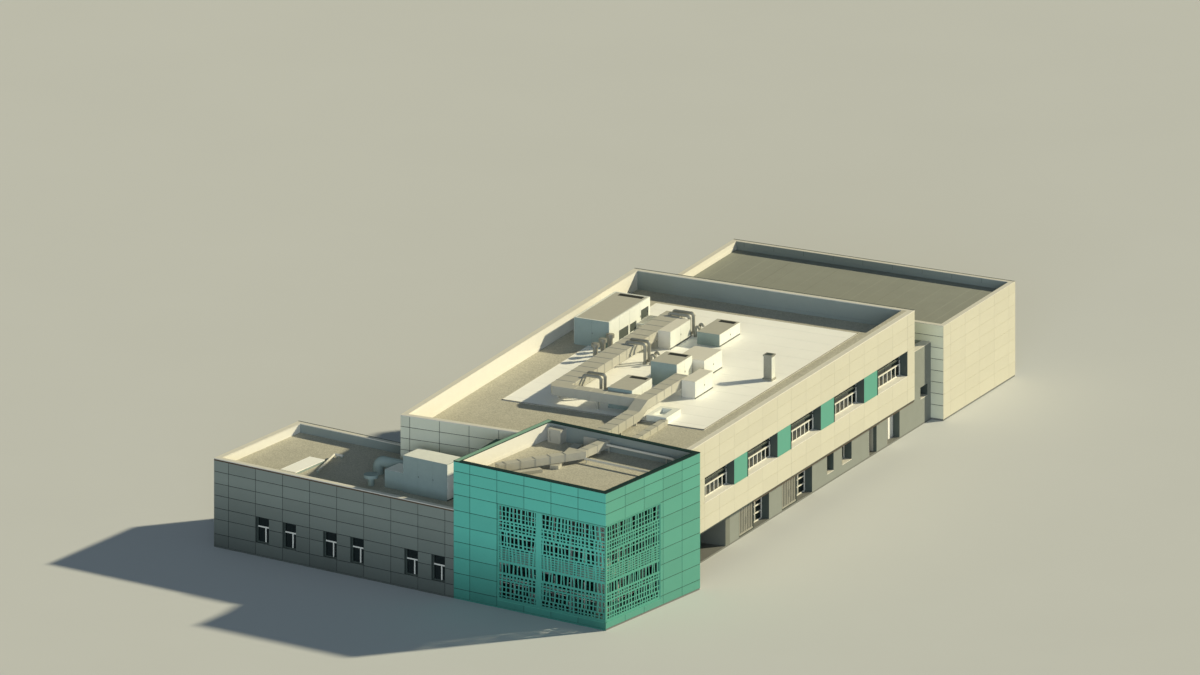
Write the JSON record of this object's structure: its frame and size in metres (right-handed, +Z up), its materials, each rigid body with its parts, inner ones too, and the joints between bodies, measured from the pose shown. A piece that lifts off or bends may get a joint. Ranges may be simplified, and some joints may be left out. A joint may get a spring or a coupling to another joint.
{
  "type": "school building, one to two scale model",
  "caption": "Two storey school with a perforated turquoise corner block, low wing, roof plant, rear hall and hinged garden doors; one to two scale model.",
  "frame": {"origin": "on the ground, in the middle of the main block's plan", "axes": "+Z up, +Y along the main block's long side towards the rear hall, +X towards the street facade"},
  "size_m": [17.8123, 33.0959, 5.463],
  "materials": {
    "concrete": "cast",
    "grey_panel": "matt coated panel",
    "cream_panel": "matt coated panel",
    "turquoise_panel": "satin coated panel",
    "turquoise_screen": "satin coated",
    "plaster_grey": "painted render",
    "plaster_light": "painted render",
    "white_frame": "white coated",
    "window_glass": "clear",
    "gravel": "loose gravel",
    "brown_roof": "granulated sheet",
    "white_deck": "painted",
    "coping_cream": "folded sheet",
    "coping_green": "folded sheet",
    "brown_board": "matt coated",
    "plant_metal": "coated sheet",
    "duct_metal": "coated sheet",
    "galvanised": "galvanised",
    "dark_frame": "coated",
    "slatted_door": "coated",
    "white_door": "coated"
  },
  "bodies": {
    "building": {"ground_slab": "concrete", "main_front_wall": "grey_panel", "main_left_wall": "grey_panel", "main_rear_wall": "grey_panel", "street_ground_wall": "plaster_grey", "street_lintels": "plaster_grey", "porch_back_wall": "plaster_grey", "porch_end_wall": "plaster_grey", "upper_floors": "concrete", "street_facade": "cream_panel", "facade_panels": "turquoise_panel", "upper_window_frames": "white_frame", "upper_glass": "window_glass", "ground_window_frames": "white_frame", "ground_glass": "window_glass", "main_roof": "gravel", "roof_deck": "white_deck", "main_copings": "coping_cream", "corner_front_wall": "turquoise_panel", "corner_side_wall": "turquoise_panel", "corner_left_wall": "turquoise_panel", "corner_back_wall": "turquoise_panel", "front_screen": "turquoise_screen", "side_screen": "turquoise_screen", "corner_inner_front": "plaster_light", "corner_inner_side": "plaster_light", "corner_glass": "window_glass", "corner_roof": "gravel", "corner_copings": "coping_green", "wing_front_wall": "grey_panel", "wing_end_wall": "grey_panel", "wing_rear_wall": "grey_panel", "wing_roof": "gravel", "wing_copings": "coping_cream", "wing_fascia": "brown_board", "wing_window_frames": "white_frame", "wing_glass": "window_glass", "hall_side_walls": "cream_panel", "hall_end_walls": "grey_panel", "hall_roof": "brown_roof", "link_walls": "plaster_grey", "link_roof": "gravel", "roof_air_unit": "plant_metal", "small_air_units": "plant_metal", "raised_ducts": "duct_metal", "bent_ducts": "galvanised", "roof_stacks": "galvanised", "corner_ducts": "duct_metal", "wing_plant": "plant_metal", "door_frames": "dark_frame"},
    "garden_leaf_1": {"garden_leaf_1": "slatted_door"},
    "garden_leaf_2": {"garden_leaf_2": "slatted_door"},
    "garden_leaf_3": {"garden_leaf_3": "slatted_door"},
    "garden_leaf_4": {"garden_leaf_4": "slatted_door"},
    "side_leaf": {"side_leaf": "slatted_door"},
    "end_leaf": {"end_leaf": "white_door"}
  },
  "joints": [
    {"name": "garden_leaf_1_swing", "type": "hinge", "parent": "building", "child": "garden_leaf_1", "pos_m": [4.575, -2.742, 0.088], "axis": [0, 0, -1], "range_deg": [0, 90]},
    {"name": "garden_leaf_2_swing", "type": "hinge", "parent": "building", "child": "garden_leaf_2", "pos_m": [4.575, -1.674, 0.088], "axis": [0, 0, 1], "range_deg": [0, 90]},
    {"name": "garden_leaf_3_swing", "type": "hinge", "parent": "building", "child": "garden_leaf_3", "pos_m": [4.575, 0.748, 0.088], "axis": [0, 0, -1], "range_deg": [0, 90]},
    {"name": "garden_leaf_4_swing", "type": "hinge", "parent": "building", "child": "garden_leaf_4", "pos_m": [4.575, 1.816, 0.088], "axis": [0, 0, 1], "range_deg": [0, 90]},
    {"name": "side_leaf_swing", "type": "hinge", "parent": "building", "child": "side_leaf", "pos_m": [4.32, 7.813, 0.088], "axis": [0, 0, -1], "range_deg": [0, 90]},
    {"name": "end_leaf_swing", "type": "hinge", "parent": "building", "child": "end_leaf", "pos_m": [4.32, 9.278, 0.088], "axis": [0, 0, -1], "range_deg": [0, 90]}
  ]
}
